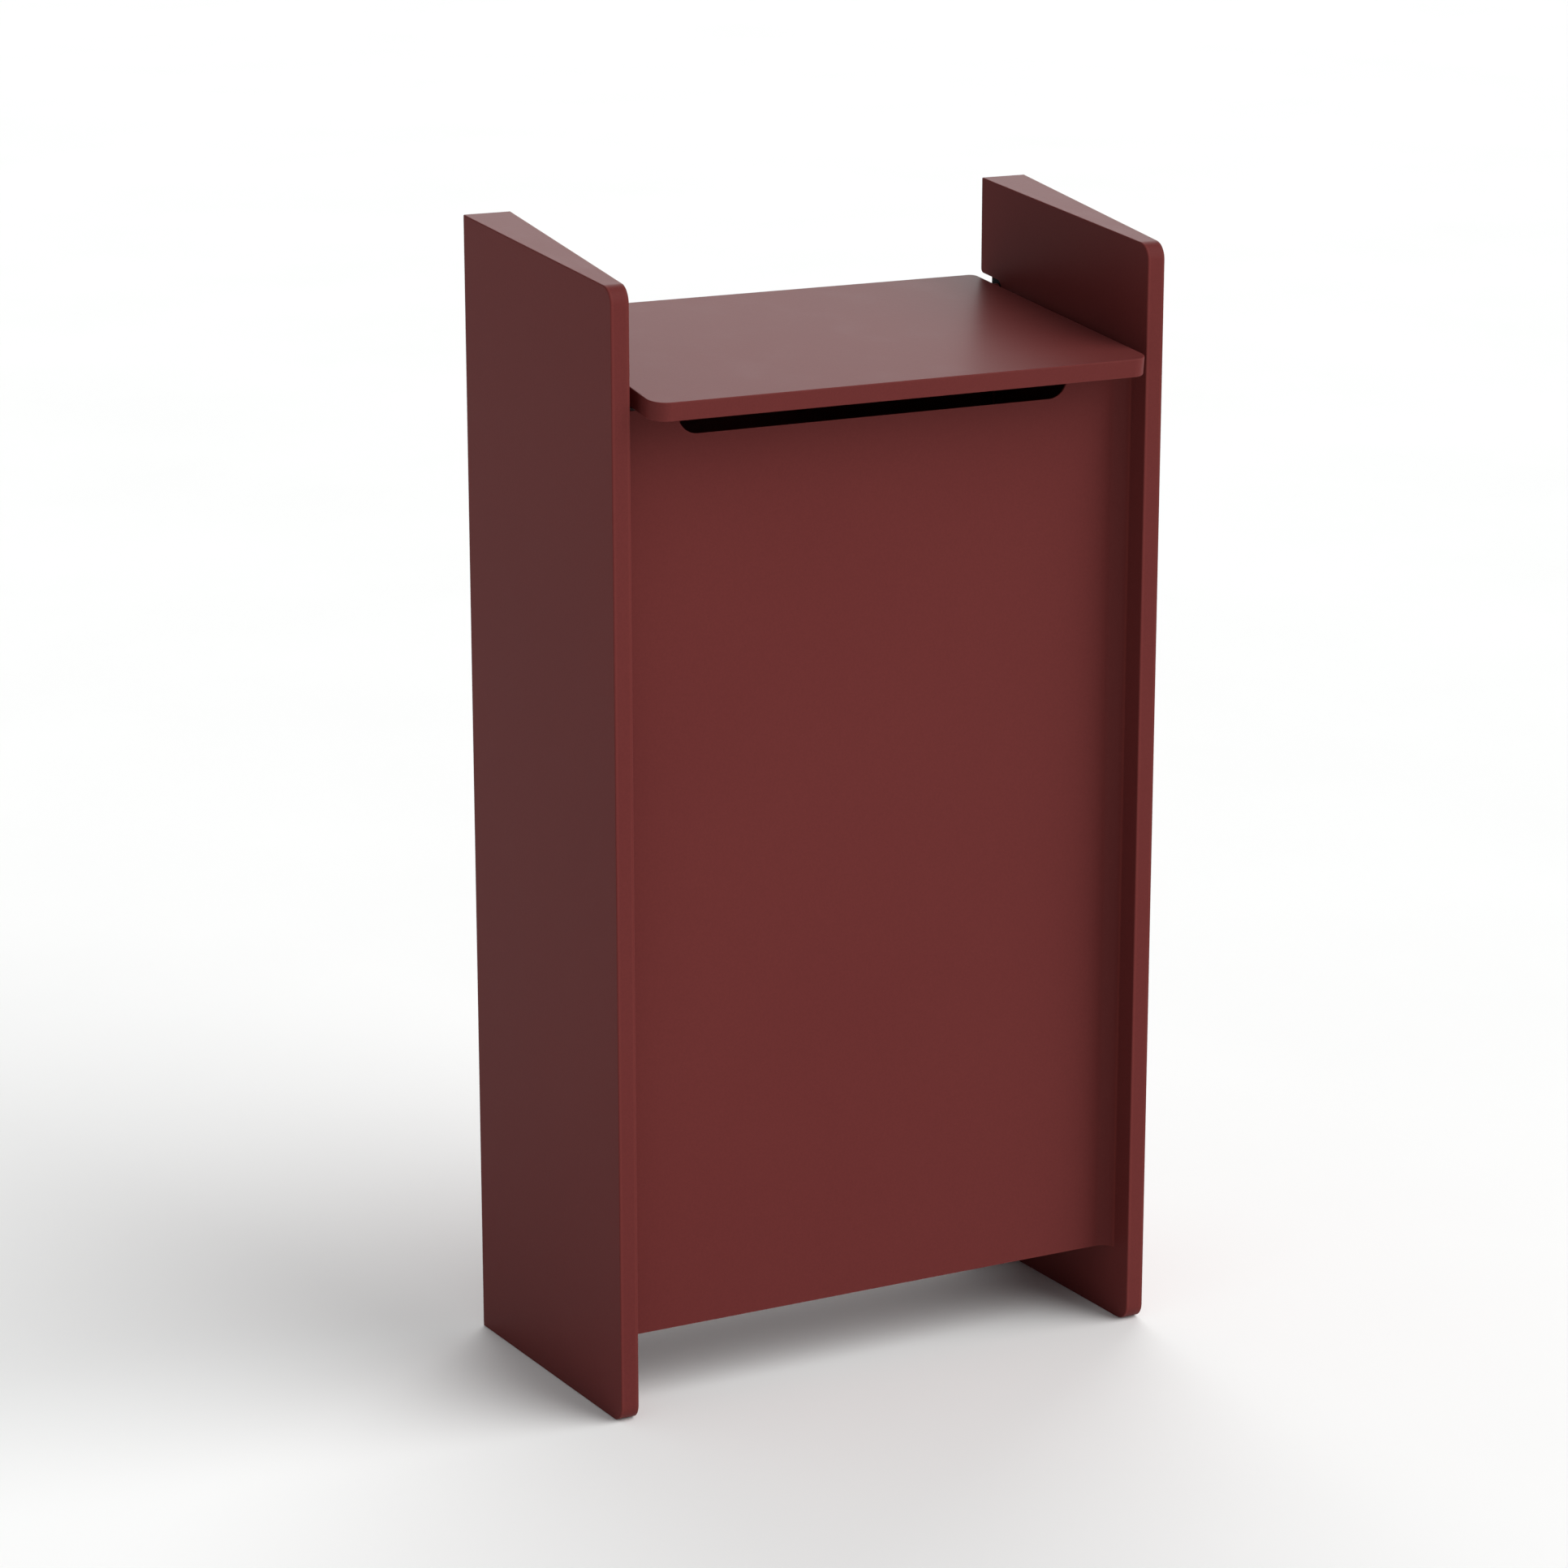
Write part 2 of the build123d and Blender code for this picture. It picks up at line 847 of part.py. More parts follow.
# the nose of the closed lid reaches exactly to the front of the outline
lid_nose_lean = (lid_thickness / 2 - edge_round) * slope_sin
lid_front_reach = (hinge_y - y_nose - edge_round - lid_nose_lean) / slope_cos + edge_round
liner_low = -lid_thickness / 2 + liner_inset
liner_top = liner_low + liner_sheet
lid_roof = lid_thickness / 2 - sheet


# half the width of the lid at a place measured from the pin axis towards the rear
def lid_half(place):
    return inner_x(hinge_y + place * slope_cos) - lid_gap


def lid_outline(inset):
    front = inset - lid_front_reach
    rear = lid_rear_reach - inset
    side = inset / taper_cos
    points = [
        (side - lid_half(front), front),
        (lid_half(front) - side, front),
        (lid_half(rear) - side, rear),
        (side - lid_half(rear), rear),
    ]
    front_radius = lid_front_radius - inset
    rear_radius = lid_rear_radius - inset
    return rounded(points, (front_radius, front_radius, rear_radius, rear_radius))


def pin_hole():
    return bar(pin_radius, 2 * overall_width, -overall_width)


def lid_shell():
    half = lid_thickness / 2
    shell = plan_block(lid_outline(0), -half, half)
    top_edges = shell.faces().sort_by(Axis.Z)[-1].edges()
    low_edges = shell.faces().sort_by(Axis.Z)[0].edges()
    shell = fillet(top_edges + low_edges, edge_round)
    shell -= plan_block(lid_outline(sheet), -half - past, lid_roof)
    return shell - pin_hole()


stiffener_x = lid_half(lid_rear_reach) - stiffener_from_side


def liner_rivet_places():
    front = liner_rivet_from_front - lid_front_reach
    rear = lid_rear_reach - liner_rivet_from_rear
    rows = evenly(front, rear, liner_rivet_count)
    return [(x, y) for x in (-stiffener_x, stiffener_x) for y in rows]


def rivet_holes():
    hole = Cylinder(liner_rivet_radius, overall_height)
    return Compound([Pos(x, y, 0) * hole for x, y in liner_rivet_places()])


def lid_liner():
    return plan_block(lid_outline(sheet + liner_clearance), liner_low, liner_top) - rivet_holes()


# channel between the liner and the top of the lid
def lid_stiffener(x):
    front = stiffener_front_gap - lid_front_reach
    rear = lid_rear_reach - stiffener_rear_gap
    half = stiffener_width / 2
    inside = half - liner_sheet
    channel = corner_box((x - half, front, liner_top), (x + half, rear, lid_roof))
    low_corner = (x - inside, front - past, liner_top + liner_sheet)
    channel -= corner_box(low_corner, (x + inside, rear + past, lid_roof + past))
    return channel - rivet_holes()


def liner_rivet(x, y):
    head = Cylinder(liner_rivet_radius + liner_rivet_rim, liner_rivet_head, align=from_above)
    head = fillet(head.edges().sort_by(Axis.Z)[0], liner_rivet_round)
    shank = Cylinder(liner_rivet_radius, 2 * liner_sheet, align=from_below)
    tail = Cylinder(liner_rivet_radius + liner_rivet_tail_rim, liner_rivet_tail, align=from_below)
    return Pos(x, y, liner_low) * (head + shank + Pos(0, 0, 2 * liner_sheet) * tail)


# block inside the lid that holds the inner end of a pin
def pin_boss():
    boss = leaning_block(
        lambda y: lid_half(y) - plate_x - boss_length,
        lambda y: lid_half(y) - plate_x,
        -boss_depth / 2,
        boss_depth / 2,
        liner_top,
        lid_roof,
    )
    return boss - pin_hole()


clip_start = hollow_near_x(hinge_y) + bearing_thickness / taper_cos + clip_gap


def hinge_pin():
    start = lid_half(0) - plate_x - boss_length - pin_past_boss
    end = inner_x(hinge_y) + pin_reach
    pin = bar(pin_radius, end - start, start)
    pin = chamfer(pin.edges().sort_by(Axis.X)[-1], pin_chamfer)
    groove_width = clip_thickness + clip_clearance
    groove = bar(clip_radius, groove_width, clip_start) - bar(groove_radius, groove_width, clip_start)
    return pin - groove


# spring clip in the groove of a pin, open on one side
def pin_clip():
    clip = bar(clip_radius, clip_thickness, clip_start) - bar(groove_radius, clip_thickness, clip_start)
    half = clip_mouth / 2
    return clip - corner_box((0, 0, -half), (overall_width, 2 * clip_radius, half))


# Every piece is written out in its place


front_band, top_band, foot_band = edge_band_lengths()
save_pair("side_outer_plate", outer_plate())
save_pair("side_inner_plate", inner_plate())
save_pair("side_front_band", front_band)
save_pair("side_top_band", top_band)
save_pair("side_foot_band", foot_band)
save_pair("rear_cover", rear_cover())
save_pair("cover_tabs", cover_tabs())
save_pair("hinge_bearing", hinge_bearing())
save_pair("anchor_bracket", anchor_bracket())
save_pair("shelf_bracket", shelf_bracket())

panel_rivets = [rivet(y, z, rivet_radius, sheet) for y, z in panel_rivet_places()]
anchor_rivets = [rivet(y, z, anchor_rivet_radius, anchor_thickness) for y, z in anchor_rivet_places()]
save_both("cover_screws", [cover_screw(z) for z in cover_screw_heights()])
save_both("bearing_studs", [bearing_stud(z) for z in bearing_stud_heights()])
save_both("bearing_nuts", [bearing_nut(z) for z in bearing_stud_heights()])
save_both("panel_rivets", panel_rivets)
save_both("anchor_rivets", anchor_rivets)
save_both("shelf_screws", [shelf_screw(x, y) for x, y in shelf_screw_places()])
save_both("closing_buffers", [closing_buffer()])
save_both("stop_buffers", [stop_buffer()])

save("front_panel", front_panel())
save("front_rail", front_rail())
save("back_panel", back_panel())
save("stop_rail", stop_rail())
save("floor_pan", floor_pan())
save("paper_shelf", paper_shelf())

lid = on_lid()
save("lid_shell", lid * lid_shell())
save("lid_liner", lid * lid_liner())
save("lid_stiffeners", *[lid * lid_stiffener(x) for x in (-stiffener_x, stiffener_x)])
save("liner_rivets", *[lid * liner_rivet(x, y) for x, y in liner_rivet_places()])
save_pair("pin_boss", lid * pin_boss())
save_pair("hinge_pin", lid * hinge_pin())
save_both("pin_clips", [lid * pin_clip()])
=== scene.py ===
import math

import bpy
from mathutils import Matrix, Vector

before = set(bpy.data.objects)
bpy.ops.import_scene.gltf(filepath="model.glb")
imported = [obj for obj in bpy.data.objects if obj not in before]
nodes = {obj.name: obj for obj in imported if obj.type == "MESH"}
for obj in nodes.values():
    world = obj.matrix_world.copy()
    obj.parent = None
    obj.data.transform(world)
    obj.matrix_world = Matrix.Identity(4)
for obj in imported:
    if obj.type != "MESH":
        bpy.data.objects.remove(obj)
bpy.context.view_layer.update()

print("frame loaded:", len(nodes), "pieces")


def hexColor(text):
    # sRGB hex to the linear values that the shader wants
    channels = [int(text[i:i + 2], 16) / 255 for i in (0, 2, 4)]
    linear = [c / 12.92 if c <= 0.04045 else ((c + 0.055) / 1.055) ** 2.4 for c in channels]
    return (*linear, 1.0)


def addNode(tree, kind, settings=None, inputs=None, links=None):
    # one node: plain settings, fixed inputs, then links given as {input: output socket}
    node = tree.nodes.new(kind)
    for key, value in (settings or {}).items():
        setattr(node, key, value)
    for key, value in (inputs or {}).items():
        node.inputs[key].default_value = value
    for key, socket in (links or {}).items():
        tree.links.new(socket, node.inputs[key])
    return node


def newMaterial(name):
    material = bpy.data.materials.new(name)
    material.use_nodes = True
    tree = material.node_tree
    return material, tree, tree.nodes["Principled BSDF"]


# a Mix node's colour sockets share their names, so they are reached by place
mixFirst, mixSecond, mixResult = 6, 7, 2


def wornEdge(tree, geometry, settings):
    # how much an edge shows: it starts where the normal of a slightly rounded edge turns away from
    # the real one by the cosine edgeStart and is complete at edgeFull
    soft = addNode(tree, "ShaderNodeBevel", {"samples": 4}, {"Radius": settings["edgeRadius"]})
    turn = addNode(tree, "ShaderNodeVectorMath", {"operation": "DOT_PRODUCT"},
                   links={0: soft.outputs["Normal"], 1: geometry.outputs["Normal"]})
    edge = addNode(tree, "ShaderNodeMapRange", inputs={
        "From Min": settings["edgeStart"], "From Max": settings["edgeFull"],
        "To Min": 0.0, "To Max": settings["edgeAmount"],
    }, links={"Value": turn.outputs["Value"]})
    return edge.outputs["Result"]


outerCoat = {
    "color": "672f2d",          # oxide red, even and deep
    "shade": "622b2a",          # slow drift of the same red
    "edge": "7c3a35",           # thinner film along bends and sheared edges
    "dustAndSheen": "8f8380",           # fine dry dust on what faces up, with a painted grey sheen that lightens the top faces
    "roughness": 0.38,          # satin
    "roughnessDrift": 0.02,
    "specular": 0.03,           # matting agent in the powder takes most of the gloss
    "driftSize": 0.24,          # metres from one tone to the next over a panel
    "grainSize": 0.0016,        # powder grain of 0.5 mm, drawn coarser so that it shows
    "grainDepth": 0.04,
    "peelSize": 0.0032,         # orange peel waves of about 3 mm
    "peelDepth": 0.00004,
    "edgeRadius": 0.0022,
    "edgeStart": 0.995,
    "edgeFull": 0.80,
    "edgeAmount": 0.35,
    "dustAndSheenAmount": 0.02,
    "dustAndSheenSize": 0.055,
    "rubSize": 0.045,           # smudges of a hand or a cloth, in which the film shines a little more
    "rubAmount": 0.02,
}

innerCoat = {
    "color": "55201f",          # the same powder laid thinner inside, so darker and drier
    "shade": "471a1a",
    "edge": "6b3330",
    # dust on what faces up, with a painted grey sheen on the top faces
    "dustAndSheen": "837672",
    "roughness": 0.58,
    "roughnessDrift": 0.07,
    "specular": 0.15,
    "driftSize": 0.12,
    "grainSize": 0.0020,        # powder grain, drawn coarser so that it shows
    "grainDepth": 0.16,
    "peelSize": 0.0024,
    "peelDepth": 0.00007,
    "edgeRadius": 0.0016,
    "edgeStart": 0.995,
    "edgeFull": 0.80,
    "edgeAmount": 0.40,
    "dustAndSheenAmount": 0.12,
    "dustAndSheenSize": 0.040,
    "rubSize": 0.030,
    "rubAmount": 0.05,
}

pinCoat = {
    "color": "6e2b28",          # pins coated with the lid and rubbed smooth where they turn
    "shade": "5c2423",
    "edge": "8a5650",
    # dust on what faces up, with a painted grey sheen on the top faces
    "dustAndSheen": "837672",
    "roughness": 0.38,
    "roughnessDrift": 0.05,
    "specular": 0.30,
    "driftSize": 0.010,
    "grainSize": 0.0012,        # powder grain, drawn coarser so that it shows
    "grainDepth": 0.12,
    "peelSize": 0.0015,
    "peelDepth": 0.00003,
    "edgeRadius": 0.0008,
    "edgeStart": 0.995,
    "edgeFull": 0.80,
    "edgeAmount": 0.60,
    "dustAndSheenAmount": 0.02,
    "dustAndSheenSize": 0.010,
    "rubSize": 0.004,
    "rubAmount": 0.10,
}


def powderCoat(name, settings):
    # polyester powder baked on sheet steel: satin red with a faint orange peel, a powder grain that
    # shows close up, a thinner film on the edges and a little dust with a painted grey sheen on the faces
    # that look up
    material, tree, shader = newMaterial(name)
    place = addNode(tree, "ShaderNodeTexCoord").outputs["Object"]
    geometry = addNode(tree, "ShaderNodeNewGeometry")

    drift = addNode(tree, "ShaderNodeTexNoise", inputs={"Scale": 1 / settings["driftSize"], "Detail": 3.0},
                    links={"Vector": place})
    tone = addNode(tree, "ShaderNodeMix", {"data_type": "RGBA"},
                   {mixFirst: hexColor(settings["shade"]), mixSecond: hexColor(settings["color"])},
                   {"Factor": drift.outputs["Fac"]})
    grain = addNode(tree, "ShaderNodeTexNoise", inputs={"Scale": 1 / settings["grainSize"], "Detail": 2.0},
                    links={"Vector": place})
    grainTone = addNode(tree, "ShaderNodeMapRange", inputs={
        "From Min": 0.3, "From Max": 0.7,       # a noise keeps mostly between these
        "To Min": 1 - settings["grainDepth"], "To Max": 1 + settings["grainDepth"],
    }, links={"Value": grain.outputs["Fac"]})
    grained = addNode(tree, "ShaderNodeVectorMath", {"operation": "SCALE"},
                      links={0: tone.outputs[mixResult], "Scale": grainTone.outputs["Result"]})

    # edges: the film is thinner there
    edged = addNode(tree, "ShaderNodeMix", {"data_type": "RGBA"}, {mixSecond: hexColor(settings["edge"])},
                    {"Factor": wornEdge(tree, geometry, settings), mixFirst: grained.outputs["Vector"]})

    # dust and painted sheen: a thin, patchy grey only on faces that look up, partly real dust and partly a
    # painted sheen
    split = addNode(tree, "ShaderNodeSeparateXYZ", links={"Vector": geometry.outputs["Normal"]})
    upward = addNode(tree, "ShaderNodeMapRange", inputs={
        "From Min": 0.6, "From Max": 1.0, "To Min": 0.0, "To Max": settings["dustAndSheenAmount"],
    }, links={"Value": split.outputs["Z"]})
    patch = addNode(tree, "ShaderNodeTexNoise", inputs={"Scale": 1 / settings["dustAndSheenSize"], "Detail": 5.0},
                    links={"Vector": place})
    dustAndSheen = addNode(tree, "ShaderNodeMath", {"operation": "MULTIPLY"},
                   links={0: upward.outputs["Result"], 1: patch.outputs["Fac"]})
    withDustAndSheen = addNode(tree, "ShaderNodeMix", {"data_type": "RGBA"}, {mixSecond: hexColor(settings["dustAndSheen"])},
                     {"Factor": dustAndSheen.outputs["Value"], mixFirst: edged.outputs[mixResult]})

    # gloss: drifts with the tone and rises a little in rubbed patches
    gloss = addNode(tree, "ShaderNodeMapRange", inputs={
        "To Min": settings["roughness"] - settings["roughnessDrift"],
        "To Max": settings["roughness"] + settings["roughnessDrift"],
    }, links={"Value": drift.outputs["Fac"]})
    rub = addNode(tree, "ShaderNodeTexNoise", inputs={"Scale": 1 / settings["rubSize"], "Detail": 4.0},
                  links={"Vector": place})
    rubbed = addNode(tree, "ShaderNodeMapRange", inputs={
        "From Min": 0.52, "From Max": 0.72, "To Min": 0.0, "To Max": -settings["rubAmount"],
    }, links={"Value": rub.outputs["Fac"]})
    roughness = addNode(tree, "ShaderNodeMath", {"operation": "ADD"},
                        links={0: gloss.outputs["Result"], 1: rubbed.outputs["Result"]})

    peel = addNode(tree, "ShaderNodeTexNoise", inputs={"Scale": 1 / settings["peelSize"], "Detail": 1.0},
                   links={"Vector": place})
    bump = addNode(tree, "ShaderNodeBump", inputs={"Strength": 0.7, "Distance": settings["peelDepth"]},
                   links={"Height": peel.outputs["Fac"]})
    tree.links.new(withDustAndSheen.outputs[mixResult], shader.inputs["Base Color"])
    tree.links.new(roughness.outputs["Value"], shader.inputs["Roughness"])
    tree.links.new(bump.outputs["Normal"], shader.inputs["Normal"])
    shader.inputs["Specular IOR Level"].default_value = settings["specular"]
    return material


stainlessSteel = {
    "color": "b9b6b0",          # warm grey, turned and tumbled
    "shade": "a29f9a",
    "edge": "d8d6d2",
    "roughness": 0.30,
    "roughnessDrift": 0.10,
    "cloudSize": 0.004,
    "markSize": 0.0007,         # tool marks of 0.1 mm, drawn coarser so that they show
    "markStretch": (1.0, 1.0, 9.0),
    "markDepth": 0.00002,
    "edgeRadius": 0.0005,
    "edgeStart": 0.99,
    "edgeFull": 0.80,
    "edgeAmount": 0.60,
}

zincPlate = {
    "color": "c3c6c6",          # electroplated zinc, cool silver with a cloudy film
    "shade": "a3a8ab",
    "edge": "dfe2e3",
    "roughness": 0.36,
    "roughnessDrift": 0.12,
    "cloudSize": 0.003,
    "markSize": 0.0008,
    "markStretch": (1.0, 1.0, 4.0),
    "markDepth": 0.00002,
    "edgeRadius": 0.0004,
    "edgeStart": 0.99,
    "edgeFull": 0.80,
    "edgeAmount": 0.60,
}

dippedZinc = {
    "color": "a9adaf",          # hot-dip zinc, dull grey with crystals about 8 mm across
    "shade": "888d91",
    "edge": "c4c8ca",
    "roughness": 0.48,
    "roughnessDrift": 0.12,
    "cloudSize": 0.008,
    "markSize": 0.002,
    "markStretch": (1.0, 1.0, 1.0),
    "markDepth": 0.00003,
    "edgeRadius": 0.0010,
    "edgeStart": 0.99,
    "edgeFull": 0.80,
    "edgeAmount": 0.60,
}

aluminiumRivet = {
    "color": "b4b5b6",          # headed aluminium, matt with a faint die print
    "shade": "999b9d",
    "edge": "cccdce",
    "roughness": 0.42,
    "roughnessDrift": 0.10,
    "cloudSize": 0.003,
    "markSize": 0.0009,
    "markStretch": (1.0, 1.0, 1.0),
    "markDepth": 0.00002,
    "edgeRadius": 0.0005,
    "edgeStart": 0.99,
    "edgeFull": 0.80,
    "edgeAmount": 0.60,
}

springSteel = {
    "color": "3b3a3c",          # phosphated spring steel, near black with an oily shine
    "shade": "2a2a2c",
    "edge": "6a696b",
    "roughness": 0.40,
    "roughnessDrift": 0.08,
    "cloudSize": 0.002,
    "markSize": 0.0006,
    "markStretch": (1.0, 1.0, 1.0),
    "markDepth": 0.00001,
    "edgeRadius": 0.0003,
    "edgeStart": 0.99,
    "edgeFull": 0.80,
    "edgeAmount": 0.60,
}


def bareMetal(name, settings):
    # metal that shows itself: cloudy tone, fine marks of the tool or the bath, and brighter edges
    material, tree, shader = newMaterial(name)
    place = addNode(tree, "ShaderNodeTexCoord").outputs["Object"]
    geometry = addNode(tree, "ShaderNodeNewGeometry")
    cells = addNode(tree, "ShaderNodeTexVoronoi", inputs={"Scale": 1 / settings["cloudSize"]},
                    links={"Vector": place})
    cloud = addNode(tree, "ShaderNodeTexNoise", inputs={"Scale": 0.6 / settings["cloudSize"], "Detail": 4.0},
                    links={"Vector": place})
    crystal = addNode(tree, "ShaderNodeSeparateColor", links={"Color": cells.outputs["Color"]})
    mottle = addNode(tree, "ShaderNodeMath", {"operation": "MULTIPLY"},
                     links={0: crystal.outputs["Red"], 1: cloud.outputs["Fac"]})
    tone = addNode(tree, "ShaderNodeMix", {"data_type": "RGBA"},
                   {mixFirst: hexColor(settings["color"]), mixSecond: hexColor(settings["shade"])},
                   {"Factor": mottle.outputs["Value"]})
    edged = addNode(tree, "ShaderNodeMix", {"data_type": "RGBA"}, {mixSecond: hexColor(settings["edge"])},
                    {"Factor": wornEdge(tree, geometry, settings), mixFirst: tone.outputs[mixResult]})
    gloss = addNode(tree, "ShaderNodeMapRange", inputs={
        "To Min": settings["roughness"] - settings["roughnessDrift"],
        "To Max": settings["roughness"] + settings["roughnessDrift"],
    }, links={"Value": cloud.outputs["Fac"]})
    stretch = addNode(tree, "ShaderNodeMapping", inputs={"Scale": settings["markStretch"]},
                      links={"Vector": place})
    marks = addNode(tree, "ShaderNodeTexNoise", inputs={"Scale": 1 / settings["markSize"], "Detail": 2.0},
                    links={"Vector": stretch.outputs["Vector"]})
    bump = addNode(tree, "ShaderNodeBump", inputs={"Strength": 0.6, "Distance": settings["markDepth"]},
                   links={"Height": marks.outputs["Fac"]})
    shader.inputs["Metallic"].default_value = 1.0
    tree.links.new(edged.outputs[mixResult], shader.inputs["Base Color"])
    tree.links.new(gloss.outputs["Result"], shader.inputs["Roughness"])
    tree.links.new(bump.outputs["Normal"], shader.inputs["Normal"])
    return material


acetalResin = {
    "color": "0b0b0c",          # black acetal, moulded, waxy sheen with a fine spark-eroded skin
    "shade": "060607",
    "bloom": "2b2a2a",
    "roughness": 0.62,
    "roughnessDrift": 0.06,
    "ior": 1.48,
    "specular": 0.06,           # fine moulded skin breaks up nearly all of the gloss
    "skinSize": 0.0006,
    "skinDepth": 0.00002,
    "bloomSize": 0.006,
    "bloomAmount": 0.10,
}

rubberCompound = {
    "color": "131313",          # black rubber, moulded, dull with a grey bloom and dusty pores
    "shade": "0b0b0b",
    "bloom": "4b4946",
    "roughness": 0.78,
    "roughnessDrift": 0.08,
    "ior": 1.52,
    "specular": 0.20,
    "skinSize": 0.0008,
    "skinDepth": 0.00005,
    "bloomSize": 0.005,
    "bloomAmount": 0.25,
}


def mouldedPolymer(name, settings):
    # moulded part: even dark body colour, texture of the mould, patchy bloom on the skin
    material, tree, shader = newMaterial(name)
    place = addNode(tree, "ShaderNodeTexCoord").outputs["Object"]
    bloom = addNode(tree, "ShaderNodeTexNoise", inputs={"Scale": 1 / settings["bloomSize"], "Detail": 5.0},
                    links={"Vector": place})
    body = addNode(tree, "ShaderNodeMix", {"data_type": "RGBA"},
                   {mixFirst: hexColor(settings["shade"]), mixSecond: hexColor(settings["color"])},
                   {"Factor": bloom.outputs["Fac"]})
    veil = addNode(tree, "ShaderNodeMapRange", inputs={
        "From Min": 0.45, "From Max": 0.75, "To Min": 0.0, "To Max": settings["bloomAmount"],
    }, links={"Value": bloom.outputs["Fac"]})
    skinned = addNode(tree, "ShaderNodeMix", {"data_type": "RGBA"}, {mixSecond: hexColor(settings["bloom"])},
                      {"Factor": veil.outputs["Result"], mixFirst: body.outputs[mixResult]})
    gloss = addNode(tree, "ShaderNodeMapRange", inputs={
        "To Min": settings["roughness"] - settings["roughnessDrift"],
        "To Max": settings["roughness"] + settings["roughnessDrift"],
    }, links={"Value": bloom.outputs["Fac"]})
    skin = addNode(tree, "ShaderNodeTexNoise", inputs={"Scale": 1 / settings["skinSize"], "Detail": 2.0},
                   links={"Vector": place})
    bump = addNode(tree, "ShaderNodeBump", inputs={"Strength": 0.7, "Distance": settings["skinDepth"]},
                   links={"Height": skin.outputs["Fac"]})
    shader.inputs["IOR"].default_value = settings["ior"]
    shader.inputs["Specular IOR Level"].default_value = settings["specular"]
    tree.links.new(skinned.outputs[mixResult], shader.inputs["Base Color"])
    tree.links.new(gloss.outputs["Result"], shader.inputs["Roughness"])
    tree.links.new(bump.outputs["Normal"], shader.inputs["Normal"])
    return material


def bothSides(*names):
    # the left and the right piece of each name
    return [f"{name}_{side}" for name in names for side in ("left", "right")]


finishes = [
    (powderCoat("oxideRedPowderCoat", outerCoat),
     bothSides("side_outer_plate", "side_inner_plate", "side_front_band", "side_top_band", "side_foot_band",
               "rear_cover") + ["front_panel", "back_panel", "lid_shell"]),
    (powderCoat("thinInnerPowderCoat", innerCoat),
     bothSides("cover_tabs", "shelf_bracket", "pin_boss")
     + ["front_rail", "stop_rail", "floor_pan", "paper_shelf", "lid_liner", "lid_stiffeners"]),
    (powderCoat("rubbedPinCoat", pinCoat), bothSides("hinge_pin")),
    (bareMetal("turnedStainlessSteel", stainlessSteel), ["cover_screws", "shelf_screws"]),
    (bareMetal("electroplatedZinc", zincPlate), ["bearing_studs", "bearing_nuts"]),
    (bareMetal("hotDippedZinc", dippedZinc), bothSides("anchor_bracket")),
    (bareMetal("headedAluminium", aluminiumRivet), ["panel_rivets", "anchor_rivets", "liner_rivets"]),
    (bareMetal("phosphatedSpringSteel", springSteel), ["pin_clips"]),
    (mouldedPolymer("mouldedBlackAcetal", acetalResin), bothSides("hinge_bearing")),
    (mouldedPolymer("mouldedBlackRubber", rubberCompound), ["closing_buffers", "stop_buffers"]),
]

for material, names in finishes:
    for name in names:
        mesh = nodes[name].data
        mesh.materials.clear()
        mesh.materials.append(material)
print("materials given to", sum(len(names) for material, names in finishes), "pieces")

# a face next to a bend shades evenly when each normal follows the largest face beside it
for node in nodes.values():
    normals = node.modifiers.new("evenShading", "WEIGHTED_NORMAL")
    normals.keep_sharp = True


stage = {
    "floorColor": "f5f5f4",
    "floorShade": "f0f0ef",
    "floorSize": 90.0,          # metres, so that it also closes the view behind the box
    "floorDrift": 0.6,          # metres from one tone to the next
    "floorRoughness": 0.9,
    "floorSpecular": 0.1,
    "worldTop": "ffffff",
    "worldLow": "c9ced2",
    "worldStrength": 0.46,
}


def makeFloor():
    # sealed pale screed: nearly even, with a slow drift of tone
    size = stage["floorSize"] / 2
    mesh = bpy.data.meshes.new("studioFloor")
    corners = [(-size, -size, 0), (size, -size, 0), (size, size, 0), (-size, size, 0)]
    mesh.from_pydata(corners, [], [(0, 1, 2, 3)])
    floor = bpy.data.objects.new("studioFloor", mesh)
    bpy.context.scene.collection.objects.link(floor)
    material, tree, shader = newMaterial("sealedPaleScreed")
    place = addNode(tree, "ShaderNodeTexCoord").outputs["Object"]
    drift = addNode(tree, "ShaderNodeTexNoise", inputs={"Scale": 1 / stage["floorDrift"], "Detail": 4.0},
                    links={"Vector": place})
    tone = addNode(tree, "ShaderNodeMix", {"data_type": "RGBA"},
                   {mixFirst: hexColor(stage["floorShade"]), mixSecond: hexColor(stage["floorColor"])},
                   {"Factor": drift.outputs["Fac"]})
    tree.links.new(tone.outputs[mixResult], shader.inputs["Base Color"])
    shader.inputs["Roughness"].default_value = stage["floorRoughness"]
    shader.inputs["Specular IOR Level"].default_value = stage["floorSpecular"]
    mesh.materials.append(material)


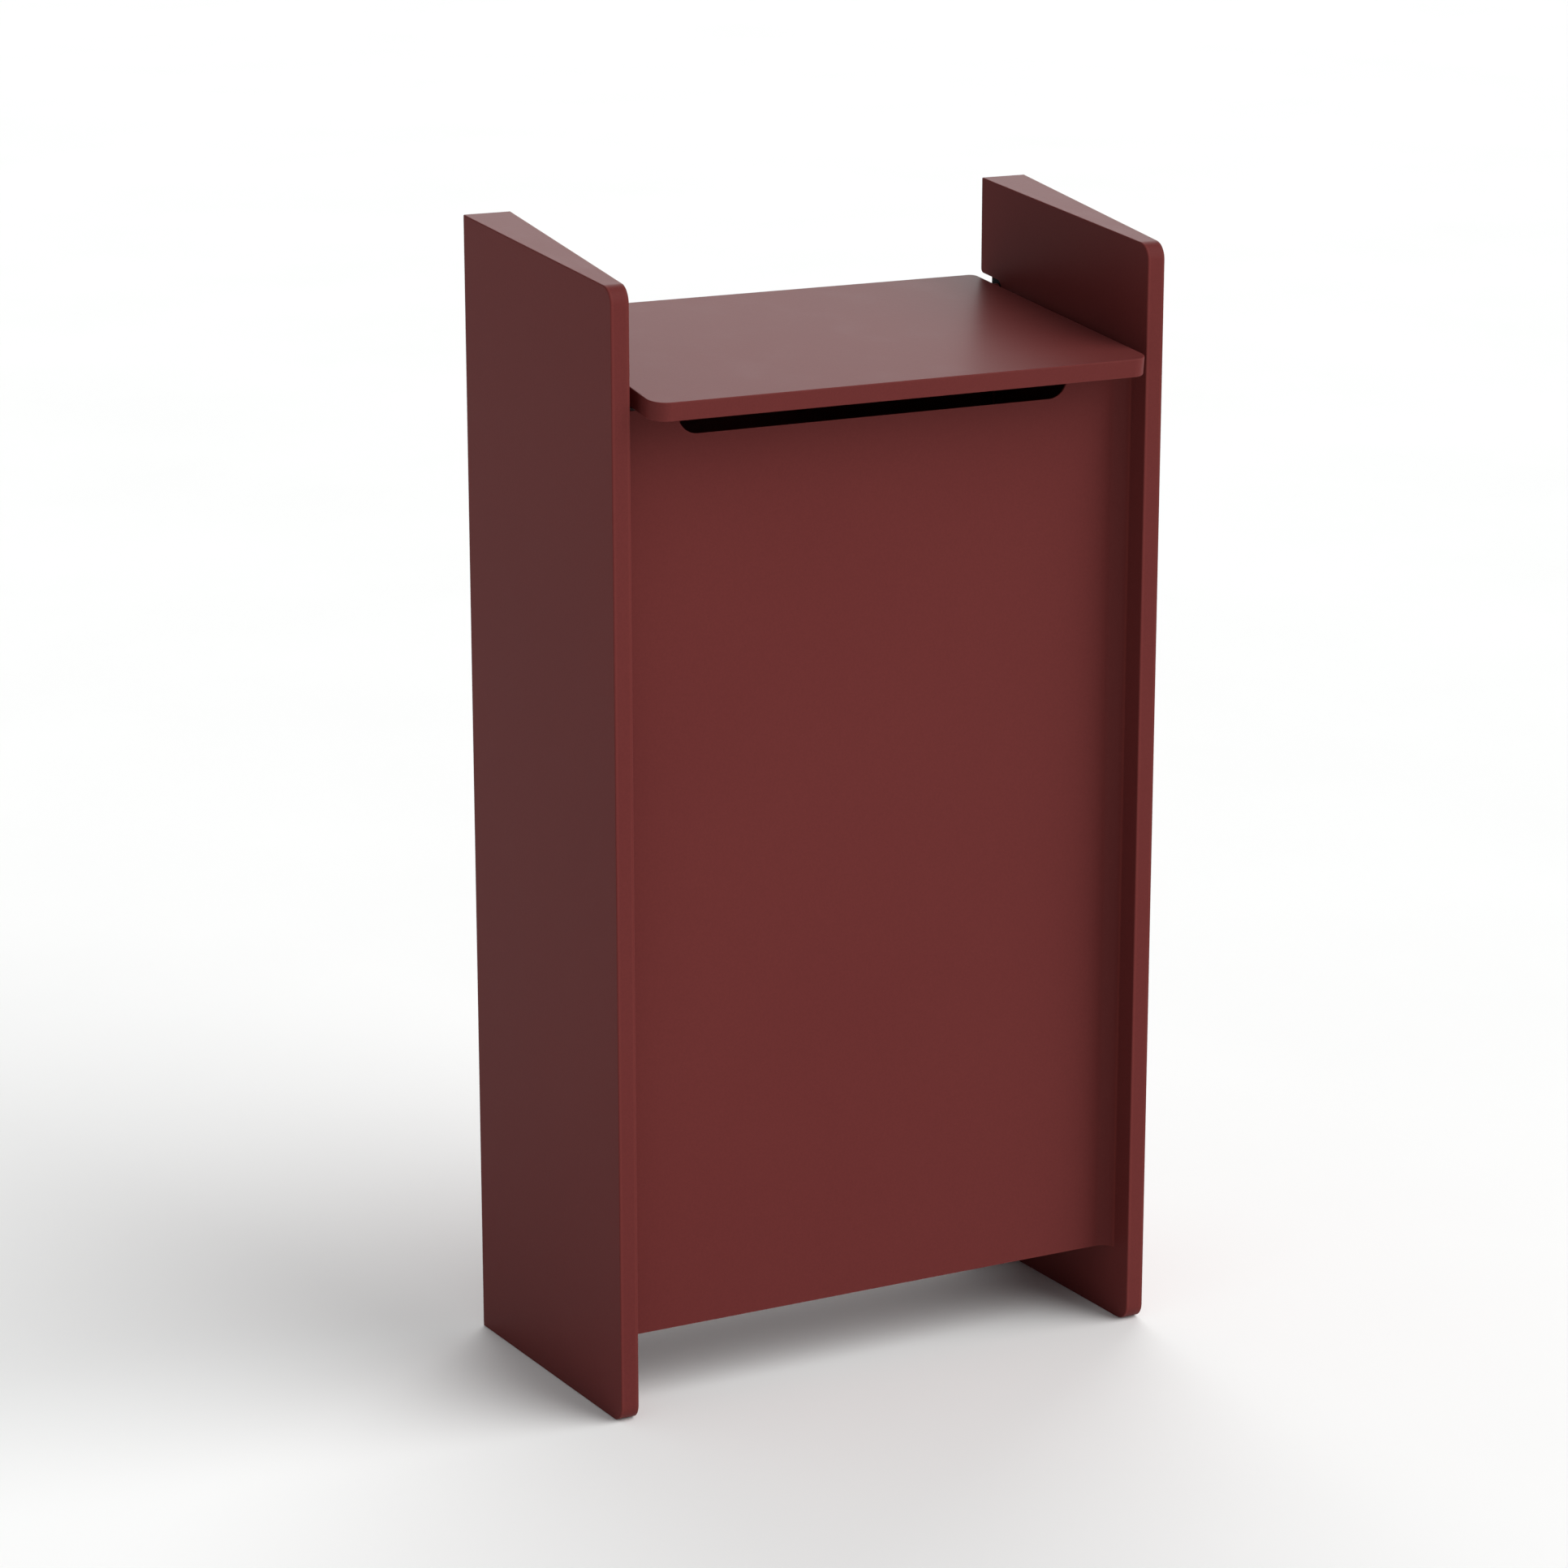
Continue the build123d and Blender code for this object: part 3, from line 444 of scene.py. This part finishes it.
def makeWorld():
    # soft room: brighter overhead than at eye level
    world = bpy.data.worlds.new("softStudio")
    world.use_nodes = True
    tree = world.node_tree
    background = tree.nodes["Background"]
    place = addNode(tree, "ShaderNodeTexCoord").outputs["Generated"]
    split = addNode(tree, "ShaderNodeSeparateXYZ", links={"Vector": place})
    sky = addNode(tree, "ShaderNodeMix", {"data_type": "RGBA"},
                  {mixFirst: hexColor(stage["worldLow"]), mixSecond: hexColor(stage["worldTop"])},
                  {"Factor": split.outputs["Z"]})
    tree.links.new(sky.outputs[mixResult], background.inputs["Color"])
    background.inputs["Strength"].default_value = stage["worldStrength"]
    bpy.context.scene.world = world


lights = {
    "keyScreen": {"place": (3.3, -2.9, 2.9), "strength": 2.75, "angle": 60},
    "rearScreen": {"place": (2.0, 4.0, 2.2), "strength": 1.6, "angle": 55},
}


def makeLight(name, settings):
    # far screen of soft light, the same over the whole floor
    light = bpy.data.lights.new(name, "SUN")
    light.energy = settings["strength"]
    light.angle = math.radians(settings["angle"])
    lamp = bpy.data.objects.new(name, light)
    lamp.location = settings["place"]
    lamp.rotation_mode = "QUATERNION"
    lamp.rotation_quaternion = (-Vector(settings["place"])).to_track_quat("-Z", "Y")
    bpy.context.scene.collection.objects.link(lamp)


camera = {
    "place": (-1.8064, -3.3950, 1.5504),
    "aim": (-0.03325, 0.01838, 0.50362),
    "lens": 105.27,             # millimetres, as the sensor
    "sensor": 36,
}


def makeCamera():
    # long lens from the front left, half a metre higher than the box and looking down on it
    data = bpy.data.cameras.new("studioCamera")
    data.lens = camera["lens"]
    data.sensor_width = camera["sensor"]
    eye = bpy.data.objects.new("studioCamera", data)
    eye.location = camera["place"]
    eye.rotation_mode = "QUATERNION"
    eye.rotation_quaternion = (Vector(camera["aim"]) - Vector(camera["place"])).to_track_quat("-Z", "Y")
    bpy.context.scene.collection.objects.link(eye)
    bpy.context.scene.camera = eye


makeFloor()
makeWorld()
for name, settings in lights.items():
    makeLight(name, settings)
makeCamera()
bpy.context.scene.view_settings.view_transform = "Standard"
print("floor, light and camera placed")
